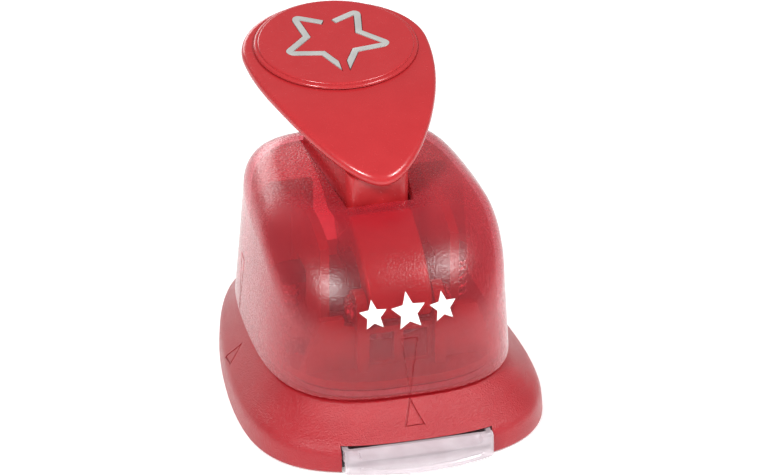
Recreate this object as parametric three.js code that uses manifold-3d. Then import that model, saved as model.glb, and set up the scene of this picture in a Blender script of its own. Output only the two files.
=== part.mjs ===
// Lever craft punch: a lift-off punching head on a base that holds the die and the chip tray.
// Millimetres, +Z up. The origin is the centre of the underside; the tray comes out towards -Y.

import * as THREE from 'three';
import { mergeVertices } from 'three/addons/utils/BufferGeometryUtils.js';
import Module from 'manifold-3d';

const wasm = await Module();
wasm.setup();

// ---------------------------------------------------------------- driving dimensions

const GAP = 0.3;                     // clearance between pieces that touch
const RING_POINTS = 44;              // points round each lofted outline
const FLANK_POINTS = 40;             // points round the lever's outline

// Egg outlines: half-width, reach to front and rear, middle line, corner powers, rearward narrowing.
const SKIRT = {
  halfWidth: 36.3, front: 47.6, rear: 50.5, middle: -11, frontPower: 2.95, rearPower: 4, taper: 0.27,
};
const BODY = {
  halfWidth: 29.9, front: 36.7, rear: 36.7, middle: -2, frontPower: 3, rearPower: 4.5, taper: 0.1,
};
const DECK = { ...BODY, halfWidth: 29.2, front: 36.2, rear: 36.2 };
const CROWN = {
  halfWidth: 18.8, front: 8.3, rear: 27.5, middle: 8, frontPower: 2.6, rearPower: 4, taper: 0.1,
};

const DECK_TOP = 13.4;
const SKIRT_WALL = 2.6;
const MAT_TOP = 0.6;
const COVER = { bottom: 0.9, top: 2.5, inset: SKIRT_WALL + GAP };

const TRAY = { halfWidth: 17.9, wall: 1.4, bottom: 2.8, floor: 4.0, top: 6.3, back: 21, front: -44.4 };
const TRAY_LIP = { back: -45, corner: -46.3, bulge: -49.5, bottom: 0.6 };
const NOTCH = { halfWidth: 18.3, top: 6.6, back: -36 };

const DIE = { halfX: 24, halfY: 25, corner: 5, bottom: 11.9, top: DECK_TOP };
const DIE_CARRIER = { halfX: 26.5, halfY: 28, corner: 8, bottom: 8.6, ledge: 10.6, top: 11.6 };
const RAIL = { inner: 18.5, outer: 20.2, front: -34, rear: 24, bottom: 2.9 };
const BOSS = { radius: 3, bottom: 2.9, top: 11.5 };
const CHIP_HOLE = 15.2;

const HOUSING = { bottom: 14.2, crownEdge: 51, crownRise: 0.7, wall: 2, draft: 0.075 };
const ROUNDING = { side: 9, front: 24, rear: 7 };
const SLOT = { front: -9.1, rear: 27.2, frontHalf: 8, rearHalf: 10.7, corner: 1.2 };

const GUIDE = { bottom: 13.7, top: 15.2, inset: 2.4 };
const FOOT = { bottom: 15.5, top: 17.5 };
const CHEEK = { inner: 14.6, thick: 2.2 };
const BULKHEAD = { inner: 11.4, outer: 30, front: 10, rear: 12.2, top: 48, sill: 22 };
const WINDOW = { inner: 1.1, outer: 7, bottom: 18.5, top: 26 };
const EAR = { inner: 8.1, thick: 2.6, radius: 4.2 };

const PIVOT = { y: -25, z: 33, pin: 1.9, hole: 2.2 };
const ROLLER = { y: 0, z: 35.6, radius: 2.5, halfWidth: 4.2 };
const RAM = { top: ROLLER.z - ROLLER.radius - GAP, block: 23.3, blockTop: 27, armTop: 31.3, armBottom: 28.8 };
const PUNCH = { plateBottom: 21, plateTop: 23, plateRadius: 14.2, tip: 14.2 };
const SPRING = {
  x: 20.5, radius: 2.6, wire: 0.45, turns: 5, bottom: FOOT.top + GAP, top: RAM.armBottom - GAP,
};

const STAR = { outer: 12.5, inner: 6.3, stroke: 1.6, clearance: 0.2 };
const MOTIF = { centre: 33.8, turn: -2.2, groove: 0.7, top: 1.4 };

const PAD = { tip: -14, noseReach: 9.5, shoulder: 11, halfWidth: 22.5, centre: 33, rear: 52.5 };
const PAD_TOP = { slope: 0.105, level: 69.1, bend: 16.5, droop: 0.00629 };
const DISC = { halfX: 19.6, halfY: 18.4, centre: 32.7, bottom: GAP, top: 1.3 };
const NECK = { front: -8.3, frontHalf: 7.4, rear: 26, rearHalf: 10.1, corner: 2.8, bottom: 42, top: 66 };
const ARM = { half: 7.7, edge: 1, top: 46, back: -9.5 };

const SCREW = { head: 2.2, headHeight: 0.9, shank: 1.1, point: 0.6 };
const MAGNET = { radius: 4, thick: 2.3 };

const COLOURS = {
  red_shell: { color: 0xd21f28, roughness: 0.38, metalness: 0 },
  red_clear: { color: 0xb81225, roughness: 0.25, metalness: 0, transparent: true, opacity: 0.6 },
  red_frame: { color: 0xcf1a24, roughness: 0.45, metalness: 0 },
  clear: { color: 0xe9e6f2, roughness: 0.15, metalness: 0, transparent: true, opacity: 0.45 },
  grey: { color: 0xbfbfbb, roughness: 0.5, metalness: 0 },
  black: { color: 0x1c1c1e, roughness: 0.6, metalness: 0 },
  rubber: { color: 0x242426, roughness: 0.9, metalness: 0 },
  steel: { color: 0xb9bcc0, roughness: 0.3, metalness: 1 },
};

// ---------------------------------------------------------------- solids and booleans

function solid(geometry) {
  const bare = geometry.clone();
  bare.deleteAttribute('normal');
  bare.deleteAttribute('uv');
  const merged = mergeVertices(bare, 1e-4);
  const vertProperties = new Float32Array(merged.attributes.position.array);
  const triVerts = new Uint32Array(merged.index.array);
  return new wasm.Manifold(new wasm.Mesh({ numProp: 3, vertProperties, triVerts }));
}

function geometryOf(body) {
  const mesh = body.getMesh();
  const geometry = new THREE.BufferGeometry();
  geometry.setAttribute('position', new THREE.BufferAttribute(mesh.vertProperties, 3));
  geometry.setIndex(new THREE.BufferAttribute(mesh.triVerts, 1));
  geometry.computeVertexNormals();
  return geometry;
}

const join = (...geometries) => geometries.map(solid).reduce((sum, next) => sum.add(next));
const without = (body, ...tools) => tools.map(solid).reduce((rest, tool) => rest.subtract(tool), body);

// ---------------------------------------------------------------- outlines and lofts

// Egg-shaped closed outline: a superellipse in front of its middle line, another behind it that
// narrows towards the rear. Points run evenly round it from the front centre.
function egg(spec, inset = 0, count = RING_POINTS) {
  const fine = 720;
  const points = [];
  for (let i = 0; i <= fine; i += 1) {
    const angle = (2 * Math.PI * i) / fine - Math.PI / 2;
    const across = Math.cos(angle);
    const along = Math.sin(angle);
    const front = along < 0;
    const power = front ? spec.frontPower : spec.rearPower;
    const reach = (front ? spec.front + spec.middle : spec.rear - spec.middle) - inset;
    const share = Math.abs(along) ** (2 / power);
    const narrowing = front ? 1 : 1 - spec.taper * share ** 1.5;
    const x = (spec.halfWidth - inset) * narrowing * Math.sign(across) * Math.abs(across) ** (2 / power);
    points.push(new THREE.Vector2(x, spec.middle + Math.sign(along) * reach * share));
  }
  return new THREE.Path(points).getSpacedPoints(count).slice(0, count);
}

const at = (points, z) => points.map((p) => new THREE.Vector3(p.x, p.y, z));
const between = (from, to, share) => from.map((p, i) => p.clone().lerp(to[i], share));

function capCentre(ring) {
  const centre = new THREE.Vector3();
  ring.forEach((p) => centre.add(p));
  return centre.divideScalar(ring.length);
}

// Closed skin through rings of equal length, listed from the bottom up, with a fan at each end.
function loft(rings, top = capCentre(rings.at(-1))) {
  const count = rings[0].length;
  const points = [...rings.flat(), capCentre(rings[0]), top];
  const bottomCentre = rings.length * count;
  const lastRing = (rings.length - 1) * count;
  const index = [];
  for (let i = 0; i < count; i += 1) {
    const next = (i + 1) % count;
    index.push(bottomCentre, next, i, bottomCentre + 1, lastRing + i, lastRing + next);
    for (let row = 0; row < lastRing; row += count) {
      index.push(row + i, row + next, row + count + next, row + i, row + count + next, row + count + i);
    }
  }
  const geometry = new THREE.BufferGeometry().setFromPoints(points);
  geometry.setIndex(index);
  geometry.computeVertexNormals();
  return geometry;
}

// Upright prism of a flat outline between two heights.
function prism(shape, bottom, top, curveSegments = 4) {
  const depth = top - bottom;
  const geometry = new THREE.ExtrudeGeometry(shape, { depth, bevelEnabled: false, curveSegments });
  return geometry.translate(0, 0, bottom);
}

// Prism across the width: the outline is drawn in (y, z) and runs from x = left to x = right.
function slab(shape, left, right, edge = 0) {
  const geometry = new THREE.ExtrudeGeometry(shape, {
    depth: right - left - 2 * edge,
    bevelEnabled: edge > 0,
    bevelThickness: edge,
    bevelSize: edge,
    bevelOffset: -edge,
    bevelSegments: 1,
    curveSegments: 5,
  });
  const acrossX = new THREE.Matrix4().makeBasis(
    new THREE.Vector3(0, 1, 0),
    new THREE.Vector3(0, 0, 1),
    new THREE.Vector3(1, 0, 0),
  );
  return geometry.translate(0, 0, edge).applyMatrix4(acrossX).translate(left, 0, 0);
}

function polygon(...corners) {
  return new THREE.Shape(corners.map(([x, y]) => new THREE.Vector2(x, y)));
}

function roundedBox(halfX, halfY, radius) {
  const shape = new THREE.Shape();
  shape.absarc(halfX - radius, halfY - radius, radius, 0, Math.PI / 2);
  shape.absarc(radius - halfX, halfY - radius, radius, Math.PI / 2, Math.PI);
  shape.absarc(radius - halfX, radius - halfY, radius, Math.PI, 1.5 * Math.PI);
  shape.absarc(halfX - radius, radius - halfY, radius, 1.5 * Math.PI, 2 * Math.PI);
  return shape;
}

function box(left, right, front, back, bottom, top) {
  const geometry = new THREE.BoxGeometry(right - left, back - front, top - bottom);
  return geometry.translate((left + right) / 2, (front + back) / 2, (bottom + top) / 2);
}

// The same box on the right (side 1) or mirrored to the left (side -1).
function sideBox(side, inner, outer, front, back, bottom, top) {
  const [left, right] = side > 0 ? [inner, outer] : [-outer, -inner];
  return box(left, right, front, back, bottom, top);
}

function upright(radius, x, y, bottom, top, sides = 16) {
  const geometry = new THREE.CylinderGeometry(radius, radius, top - bottom, sides);
  return geometry.rotateX(Math.PI / 2).translate(x, y, (bottom + top) / 2);
}

function crosswise(radius, y, z, halfLength, sides = 16) {
  const geometry = new THREE.CylinderGeometry(radius, radius, 2 * halfLength, sides);
  return geometry.rotateZ(Math.PI / 2).translate(0, y, z);
}

// ---------------------------------------------------------------- star motif

// Middle line of one half of the star's outline. The star points to the front; the halves are
// parted at the front point and at the notch opposite it, so the cut-out stays in the sheet.
function halfStar(side) {
  const corner = (radius, degrees) => {
    const angle = THREE.MathUtils.degToRad(degrees);
    return new THREE.Vector2(side * radius * Math.cos(angle), radius * Math.sin(angle));
  };
  const tip = corner(STAR.outer, -90);
  const notch = corner(STAR.inner, 90);
  const firstInner = corner(STAR.inner, -54);
  const lastOuter = corner(STAR.outer, 54);
  return [
    tip.lerp(firstInner, 0.2),
    firstInner,
    corner(STAR.outer, -18),
    corner(STAR.inner, 18),
    lastOuter,
    lastOuter.clone().lerp(notch, 0.86),
  ];
}

// One half of the star as an upright bar of even width, grown by a margin all round.
function starBar(side, bottom, top, margin = 0) {
  const route = halfStar(side);
  const width = STAR.stroke + 2 * margin;
  const bars = route.slice(1).map((to, i) => {
    const from = route[i];
    const leg = to.clone().sub(from);
    const startsFree = i === 0 ? margin : 0;
    const endsFree = i === route.length - 2 ? margin : 0;
    const bar = box(-startsFree, leg.length() + endsFree, -width / 2, width / 2, bottom, top);
    return bar.rotateZ(leg.angle()).translate(from.x, from.y, 0);
  });
  const corners = route.slice(1, -1).map((p) => upright(width / 2, p.x, p.y, bottom, top, 10));
  return join(...bars, ...corners);
}

const bothSides = [-1, 1];
const starSlots = (bottom, top) => (
  bothSides.map((side) => starBar(side, bottom, top, STAR.clearance)).reduce((sum, next) => sum.add(next))
);

// ---------------------------------------------------------------- base

const coverScrewSpots = [[-26, -20], [26, -20], [-20, 29.5], [20, 29.5]];
const dieScrewSpots = [[-9, -21.3], [9, -21.3], [-9, 21.3], [9, 21.3]];
const magnetSpots = [[-19.3, -16], [19.3, -16], [-19.3, 16], [19.3, 16]];

// Flared skirt: share 0 is the skirt outline, share 1 the deck outline.
function skirtLoft(profile, inset) {
  const low = egg(SKIRT, inset);
  const high = egg(DECK, inset);
  return loft(profile.map(([share, z]) => at(between(low, high, share), z)));
}

const SKIRT_INSIDE = [[0, -1], [0, 2.9], [0.05, 4.2], [0.33, 6.2], [0.72, 9], [0.95, 10.9]];

function makeBaseShell() {
  const outside = [
    [0, 0.3], [0.02, 3], [0.06, 5.2], [0.17, 6.7], [0.4, 8.4],
    [0.66, 10.4], [0.87, 12.3], [0.97, 13.2], [1.02, DECK_TOP],
  ];
  let shell = without(solid(skirtLoft(outside, 0)), skirtLoft(SKIRT_INSIDE, SKIRT_WALL));
  coverScrewSpots.forEach(([x, y]) => {
    shell = shell.add(solid(upright(BOSS.radius, x, y, BOSS.bottom, BOSS.top)));
    shell = without(shell, upright(SCREW.shank + GAP, x, y, 0, 9));
  });
  const diePocket = prism(roundedBox(DIE.halfX + GAP, DIE.halfY + GAP, DIE.corner), DIE_CARRIER.bottom, 20);
  const notch = box(-NOTCH.halfWidth, NOTCH.halfWidth, -60, NOTCH.back, -1, NOTCH.top);
  return geometryOf(without(shell, diePocket, notch));
}

// Carrier under the deck: it bears the die and the magnets, and its two rails guide the tray.
function makeDieCarrier() {
  const { halfX, halfY, corner, bottom, ledge, top } = DIE_CARRIER;
  const rails = bothSides.map((side) => (
    sideBox(side, RAIL.inner, RAIL.outer, RAIL.front, RAIL.rear, RAIL.bottom, ledge)
  ));
  let carrier = join(prism(roundedBox(halfX, halfY, corner), bottom, ledge), ...rails);
  carrier = carrier.intersect(solid(skirtLoft(SKIRT_INSIDE, SKIRT_WALL + GAP)));
  carrier = carrier.add(solid(prism(roundedBox(DIE.halfX, DIE.halfY, DIE.corner), ledge - 0.2, top)));
  carrier = without(carrier, upright(CHIP_HOLE, 0, 0, 0, 20, 32));
  magnetSpots.forEach(([x, y]) => {
    carrier = without(carrier, upright(MAGNET.radius + GAP, x, y, bottom + GAP, 20));
  });
  dieScrewSpots.forEach(([x, y]) => {
    carrier = without(carrier, upright(SCREW.shank + GAP, x, y, 0, 20, 10));
  });
  coverScrewSpots.forEach(([x, y]) => {
    carrier = without(carrier, upright(BOSS.radius + GAP, x, y, 0, 20));
  });
  return geometryOf(carrier);
}

function coverOutline() {
  return new THREE.Shape(egg(SKIRT, COVER.inset));
}

function makeBaseCover() {
  let cover = solid(prism(coverOutline(), COVER.bottom, COVER.top));
  coverScrewSpots.forEach(([x, y]) => {
    cover = without(cover, upright(SCREW.shank + GAP, x, y, 0, 5, 10));
    cover = without(cover, upright(SCREW.head + GAP, x, y, 0, 1.9, 12));
  });
  return geometryOf(cover);
}

function makeDiePlate() {
  let plate = solid(prism(roundedBox(DIE.halfX, DIE.halfY, DIE.corner), DIE.bottom, DIE.top));
  plate = plate.subtract(starSlots(DIE.bottom - 1, DIE.top + 1));
  dieScrewSpots.forEach(([x, y]) => {
    plate = without(plate, upright(SCREW.shank + GAP, x, y, 0, 20, 10));
    plate = without(plate, upright(SCREW.head + GAP, x, y, DIE.top - SCREW.headHeight - 0.1, 20, 12));
  });
  return geometryOf(plate);
}

function makeChipTray() {
  const { halfWidth, wall, bottom, floor, top, back, front } = TRAY;
  const lip = new THREE.Shape();
  lip.moveTo(-halfWidth, TRAY_LIP.back);
  lip.lineTo(-halfWidth, TRAY_LIP.corner);
  lip.quadraticCurveTo(0, 2 * TRAY_LIP.bulge - TRAY_LIP.corner, halfWidth, TRAY_LIP.corner);
  lip.lineTo(halfWidth, TRAY_LIP.back);
  let tray = solid(box(-halfWidth, halfWidth, TRAY_LIP.back - 0.2, back, bottom, top));
  tray = tray.add(solid(prism(lip, TRAY_LIP.bottom, top, 12)));
  tray = without(tray, box(wall - halfWidth, halfWidth - wall, front + wall, back - wall, floor, top + 1));
  return geometryOf(tray);
}

function makeDiscMagnet(bottom) {
  return upright(MAGNET.radius, 0, 0, bottom, bottom + MAGNET.thick);
}

// Screw along Z: its head is at z = 0 and its shank runs towards +Z.
function makeScrew(length) {
  const { head, headHeight, shank, point } = SCREW;
  const profile = [
    [0, 0],
    [head, 0],
    [head, headHeight],
    [shank, headHeight],
    [shank, length - point],
    [0, length],
  ];
  const lathe = new THREE.LatheGeometry(profile.map(([r, y]) => new THREE.Vector2(r, y)), 10);
  return lathe.rotateX(Math.PI / 2);
}

// ---------------------------------------------------------------- head

// Upright wall, then a rounded shoulder that is deep at the front and tight at the sides and rear.
function domeRings(inset, bottom, shoulderSteps = 7) {
  const low = egg(BODY, inset);
  const crown = egg(CROWN);
  const edge = HOUSING.crownEdge - inset;
  const depth = low.map((p) => {
    const forward = THREE.MathUtils.smoothstep(-p.y, 5, BODY.front - inset);
    const backward = THREE.MathUtils.smoothstep(p.y, 10, BODY.rear - inset);
    const radius = THREE.MathUtils.lerp(ROUNDING.side, ROUNDING.front, forward);
    return THREE.MathUtils.lerp(radius, ROUNDING.rear, backward) - inset;
  });
  const wallTop = low.map((p, i) => {
    const lean = HOUSING.draft * (edge - depth[i] - HOUSING.bottom);
    return p.clone().lerp(crown[i], lean / p.distanceTo(crown[i]));
  });
  const rings = [at(low, bottom)];
  for (let step = 0; step <= shoulderSteps; step += 1) {
    const angle = (Math.PI / 2) * (step / shoulderSteps);
    rings.push(wallTop.map((p, i) => {
      const place = crown[i].clone().lerp(p, Math.cos(angle));
      return new THREE.Vector3(place.x, place.y, edge - depth[i] * (1 - Math.sin(angle)));
    }));
  }
  const centre = new THREE.Vector2(0, CROWN.middle);
  [0.66, 0.33].forEach((share) => {
    const ring = crown.map((p) => centre.clone().lerp(p, share));
    rings.push(at(ring, edge + HOUSING.crownRise * (1 - share * share)));
  });
  return rings;
}

function dome(inset, bottom) {
  const top = new THREE.Vector3(0, CROWN.middle, HOUSING.crownEdge - inset + HOUSING.crownRise);
  return loft(domeRings(inset, bottom), top);
}

function slotShape() {
  const { front, rear, frontHalf, rearHalf, corner } = SLOT;
  const shape = new THREE.Shape();
  shape.moveTo(frontHalf, front);
  shape.lineTo(rearHalf, rear - corner);
  shape.quadraticCurveTo(rearHalf, rear, rearHalf - corner, rear);
  shape.lineTo(corner - rearHalf, rear);
  shape.quadraticCurveTo(-rearHalf, rear, -rearHalf, rear - corner);
  shape.lineTo(-frontHalf, front);
  return shape;
}

function makeHousing() {
  const shell = solid(dome(0, HOUSING.bottom));
  return geometryOf(without(shell, dome(HOUSING.wall, HOUSING.bottom - 2), prism(slotShape(), 40, 60)));
}

const guideScrewSpots = [[-12, -24.5], [12, -24.5], [-12, 26], [12, 26]];
const headMagnetSpots = [[-20.5, -13.5], [20.5, -13.5], [-20.5, 13.5], [20.5, 13.5]];

function makeGuidePlate() {
  let plate = solid(prism(new THREE.Shape(egg(BODY, GUIDE.inset)), GUIDE.bottom, GUIDE.top));
  plate = plate.subtract(starSlots(GUIDE.bottom - 1, GUIDE.top + 1));
  guideScrewSpots.forEach(([x, y]) => {
    plate = without(plate, upright(SCREW.shank + GAP, x, y, 10, 20, 10));
    plate = without(plate, upright(SCREW.head + GAP, x, y, 10, 14.9, 12));
  });
  return geometryOf(plate);
}

function frontWall() {
  const shape = polygon(
    [-24, 17], [24, 17], [18.8, 31], [13.2, 31], [13.2, 29.2], [8, 27.6], [-8, 27.6],
    [-13.2, 29.2], [-13.2, 31], [-18.8, 31],
  );
  const geometry = new THREE.ExtrudeGeometry(shape, { depth: 2, bevelEnabled: false });
  return geometry.rotateX(Math.PI / 2).translate(0, -24.4, 0);
}

function frontWindow(side) {
  return sideBox(side, WINDOW.inner, WINDOW.outer, -30, -20, WINDOW.bottom, WINDOW.top);
}

function cheek(side) {
  const shape = polygon([-25, 17], [-25, 23], [-18, 25], [-18, 48], [11, 48], [27, 30], [27, 17]);
  shape.holes.push(new THREE.Path([
    new THREE.Vector2(-4.2, 22.5),
    new THREE.Vector2(4.2, 22.5),
    new THREE.Vector2(4.2, 32.5),
    new THREE.Vector2(-4.2, 32.5),
  ]));
  const near = side * CHEEK.inner;
  const far = side * (CHEEK.inner + CHEEK.thick);
  return slab(shape, Math.min(near, far), Math.max(near, far));
}

function pivotEar(side) {
  const shape = new THREE.Shape();
  shape.moveTo(-18.5, 17);
  shape.absarc(PIVOT.y, PIVOT.z, EAR.radius, 0, Math.PI);
  shape.lineTo(-29.2, 17);
  const near = side * EAR.inner;
  const far = side * (EAR.inner + EAR.thick);
  return slab(shape, Math.min(near, far), Math.max(near, far));
}

// Wall across the head behind the ram, parted in the middle for the lever's web.
function bulkhead() {
  const { inner, outer, front, rear, top, sill } = BULKHEAD;
  const halves = bothSides.map((side) => sideBox(side, inner, outer, front, rear, 17, top));
  return [...halves, box(-inner - 1, inner + 1, front, rear, 17, sill)];
}

function makeInnerFrame() {
  const foot = prism(new THREE.Shape(egg(BODY, GUIDE.inset + 0.1)), FOOT.bottom, FOOT.top);
  const walls = [frontWall(), ...bothSides.map(cheek), ...bothSides.map(pivotEar), ...bulkhead()];
  let frame = join(foot, ...walls);
  frame = frame.intersect(solid(dome(HOUSING.wall + 0.4, FOOT.bottom - 1)));
  frame = without(frame, upright(PUNCH.plateRadius + 0.9, 0, 0, 0, 23, 28));
  frame = without(frame, ...bothSides.map(frontWindow), crosswise(PIVOT.hole, PIVOT.y, PIVOT.z, 14));
  headMagnetSpots.forEach(([x, y]) => {
    frame = without(frame, upright(MAGNET.radius + GAP, x, y, 10, FOOT.top + 1));
  });
  guideScrewSpots.forEach(([x, y]) => {
    frame = without(frame, upright(SCREW.shank + GAP, x, y, 10, FOOT.top + 1, 10));
  });
  return geometryOf(frame);
}

function makePivotClip() {
  const ring = new THREE.Shape().absarc(0, 0, 3.2, 0, 2 * Math.PI);
  ring.holes.push(new THREE.Path().absarc(0, 0, PIVOT.hole, 0, 2 * Math.PI, true));
  return slab(ring, -0.4, 0.4).translate(0, PIVOT.y, PIVOT.z);
}

class Helix extends THREE.Curve {
  getPoint(t) {
    const angle = 2 * Math.PI * SPRING.turns * t;
    const rise = SPRING.top - SPRING.bottom - 2 * SPRING.wire;
    return new THREE.Vector3(
      SPRING.radius * Math.cos(angle),
      SPRING.radius * Math.sin(angle),
      SPRING.bottom + SPRING.wire + rise * t,
    );
  }
}

function makeSpring() {
  const wire = new THREE.Shape().absarc(0, 0, SPRING.wire, 0, 2 * Math.PI);
  const steps = 9 * SPRING.turns;
  return new THREE.ExtrudeGeometry(wire, { steps, extrudePath: new Helix(), curveSegments: 3 });
}

// ---------------------------------------------------------------- ram and punch

function makeRam() {
  const { block, blockTop, armBottom, armTop, top } = RAM;
  const body = join(
    prism(roundedBox(14.1, 9.5, 4), block, blockTop),
    prism(roundedBox(7, 6, 1.5), block, top),
    prism(roundedBox(23.5, 3.4, 3.3), armBottom, armTop),
    prism(roundedBox(13.8, 3.4, 1), block, armTop),
  );
  const holes = bothSides.map((side) => upright(SCREW.shank + GAP, side * 4, 0, 20, 27, 10));
  return geometryOf(without(body, ...holes));
}

function makePunch() {
  const blades = bothSides.map((side) => starBar(side, PUNCH.tip, PUNCH.plateBottom + 0.5));
  const plate = upright(PUNCH.plateRadius, 0, 0, PUNCH.plateBottom, PUNCH.plateTop, 28);
  const tools = bothSides.flatMap((side) => [
    upright(SCREW.shank + GAP, side * 4, 0, 20, 24, 10),
    upright(SCREW.head + GAP, side * 4, 0, 20, PUNCH.plateBottom + 1.2, 12),
  ]);
  return geometryOf(without(solid(plate).add(blades[0]).add(blades[1]), ...tools));
}

// ---------------------------------------------------------------- lever

// Height of the lever's upper surface: a plane that leans forward, then droops to the nose.
function padHeight(y) {
  const ahead = Math.max(PAD_TOP.bend - y, 0);
  return PAD_TOP.level + PAD_TOP.slope * (y - PAD_TOP.bend) - PAD_TOP.droop * ahead * ahead;
}

function padOutline() {
  const { tip, noseReach, shoulder, halfWidth, centre, rear } = PAD;
  const shape = new THREE.Shape();
  shape.moveTo(0, tip);
  shape.bezierCurveTo(noseReach, tip, halfWidth, shoulder, halfWidth, centre);
  shape.absellipse(0, centre, halfWidth, rear - centre, 0, Math.PI);
  shape.bezierCurveTo(-halfWidth, shoulder, -noseReach, tip, 0, tip);
  return shape.getSpacedPoints(FLANK_POINTS).slice(0, FLANK_POINTS);
}

function insetBy(points, distance) {
  return points.map((p, i) => {
    const ahead = points[(i + 1) % points.length];
    const behind = points.at(i - 1);
    const along = ahead.clone().sub(behind).normalize();
    return new THREE.Vector2(-along.y, along.x).multiplyScalar(distance).add(p);
  });
}

function padRing(inset, drop, share = 1) {
  const spine = new THREE.Vector2(0, PAD.centre - 6);
  return insetBy(padOutline(), inset).map((p) => {
    const place = spine.clone().lerp(p, share);
    return new THREE.Vector3(place.x, place.y, padHeight(place.y) - drop);
  });
}

function makeLeverHead() {
  const underside = [[4.2, 5, 0.3], [4.2, 5, 0.65], [4.2, 5, 1], [2.6, 4.4, 1], [0.9, 2.9, 1]];
  const rim = [[0.2, 2.1, 1], [0, 1.3, 1], [0.25, 0.5, 1], [0.9, 0.08, 1]];
  const topSide = [[1.8, 0, 1], [1.8, 0, 0.7], [1.8, 0, 0.35]];
  const rings = [...underside, ...rim, ...topSide].map(([inset, drop, share]) => padRing(inset, drop, share));
  return loft(rings);
}

function webShape() {
  const shape = new THREE.Shape();
  shape.moveTo(20, NECK.top);
  shape.lineTo(-8.3, 58);
  shape.lineTo(-8.3, 49.5);
  shape.quadraticCurveTo(-8.6, 48.2, -14.7, 46.2);
  shape.quadraticCurveTo(-23.5, 42.5, -26.6, 38.2);
  shape.quadraticCurveTo(-28.8, 36.2, -29, 33);
  shape.absarc(PIVOT.y, PIVOT.z, 4, Math.PI, 1.75 * Math.PI);
  shape.quadraticCurveTo(-20, 38.5, -14, 40);
  shape.quadraticCurveTo(-7, 41, -4.4, 35.6);
  shape.absarc(ROLLER.y, ROLLER.z, 2.2, Math.PI, 2 * Math.PI);
  shape.quadraticCurveTo(4, 39, 8, 43);
  shape.quadraticCurveTo(13, 48, 25.8, 49);
  shape.lineTo(21.2, 62);
  return shape;
}

// Plan of the neck between pad and housing: it widens towards the rear and has round front edges.
function neckPlan() {
  const { front, frontHalf, rear, rearHalf, corner } = NECK;
  const shape = new THREE.Shape();
  shape.moveTo(frontHalf - corner, front);
  shape.quadraticCurveTo(frontHalf, front, frontHalf + 0.2, front + corner);
  shape.lineTo(rearHalf, rear);
  shape.lineTo(-rearHalf, rear);
  shape.lineTo(-frontHalf - 0.2, front + corner);
  shape.quadraticCurveTo(-frontHalf, front, corner - frontHalf, front);
  return shape;
}

function makeLever() {
  const arm = solid(slab(webShape(), -ARM.half, ARM.half, ARM.edge));
  const lowerArm = arm.subtract(solid(box(-20, 20, ARM.back, 40, ARM.top, 80)));
  const neck = solid(prism(neckPlan(), NECK.bottom, NECK.top)).intersect(solid(slab(webShape(), -12, 12)));
  const forkSlot = join(
    crosswise(ROLLER.radius + GAP + 0.1, ROLLER.y, ROLLER.z, ROLLER.halfWidth + GAP),
    box(-4.5, 4.5, -2.9, 2.9, 30, ROLLER.z),
  );
  let lever = solid(makeLeverHead()).add(lowerArm).add(neck).subtract(forkSlot);
  lever = without(lever, crosswise(PIVOT.hole, PIVOT.y, PIVOT.z, 14));
  lever = without(lever, crosswise(1.2, ROLLER.y, ROLLER.z, 14, 12));
  return geometryOf(lever);
}

// Moves a flat piece drawn at z = 0 up on to the leaning pad plane.
function ontoPad(geometry) {
  const place = geometry.attributes.position;
  for (let i = 0; i < place.count; i += 1) {
    place.setZ(i, place.getZ(i) + PAD_TOP.level + PAD_TOP.slope * (place.getY(i) - PAD_TOP.bend));
  }
  return geometry;
}

function discRing(shrink, z) {
  const oval = new THREE.EllipseCurve(0, DISC.centre, DISC.halfX - shrink, DISC.halfY - shrink);
  return at(oval.getPoints(40).slice(0, 40), z);
}

function makePadDisc() {
  const rings = [discRing(0, DISC.bottom), discRing(0, 0.7), discRing(0.25, 1.05), discRing(0.9, DISC.top)];
  const grooves = bothSides.map((side) => motifOnPad(starBar(side, MOTIF.groove, 3, GAP)));
  return geometryOf(without(solid(ontoPad(loft(rings))), ...grooves));
}

// Turns half of the star a little, as it is on the pad, and moves it into place there.
function motifOnPad(half) {
  const turned = geometryOf(half).rotateZ(THREE.MathUtils.degToRad(MOTIF.turn));
  return ontoPad(turned.translate(0, MOTIF.centre, 0));
}

function makeStarStrip(side) {
  return motifOnPad(starBar(side, MOTIF.groove + GAP, MOTIF.top));
}

function makeRoller() {
  const ring = new THREE.Shape().absarc(0, 0, ROLLER.radius, 0, 2 * Math.PI);
  ring.holes.push(new THREE.Path().absarc(0, 0, 1.2, 0, 2 * Math.PI, true));
  return slab(ring, -ROLLER.halfWidth, ROLLER.halfWidth).translate(0, ROLLER.y, ROLLER.z);
}

// ---------------------------------------------------------------- assembly

const craftPunch = new THREE.Group();

function place(name, geometry, colour, x = 0, y = 0, z = 0) {
  const mesh = new THREE.Mesh(geometry, new THREE.MeshStandardMaterial(COLOURS[colour]));
  mesh.name = name;
  mesh.position.set(x, y, z);
  craftPunch.add(mesh);
  return mesh;
}

function placeEach(name, spots, geometry, colour, z = 0) {
  spots.forEach(([x, y], i) => place(`${name}_${i + 1}`, geometry, colour, x, y, z));
}

function buildBase() {
  place('base_shell', makeBaseShell(), 'red_shell');
  place('base_cover', makeBaseCover(), 'black');
  place('base_mat', prism(coverOutline(), 0, MAT_TOP), 'rubber');
  place('die_carrier', makeDieCarrier(), 'black');
  place('chip_tray', makeChipTray(), 'clear');
  place('die_plate', makeDiePlate(), 'steel');
  placeEach('base_magnet', magnetSpots, makeDiscMagnet(9.2), 'steel');
  placeEach('cover_screw', coverScrewSpots, makeScrew(7), 'steel', COVER.bottom + 0.05);
  placeEach('die_screw', dieScrewSpots, makeScrew(4).rotateX(Math.PI), 'steel', DIE.top - 0.05);
}

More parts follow.
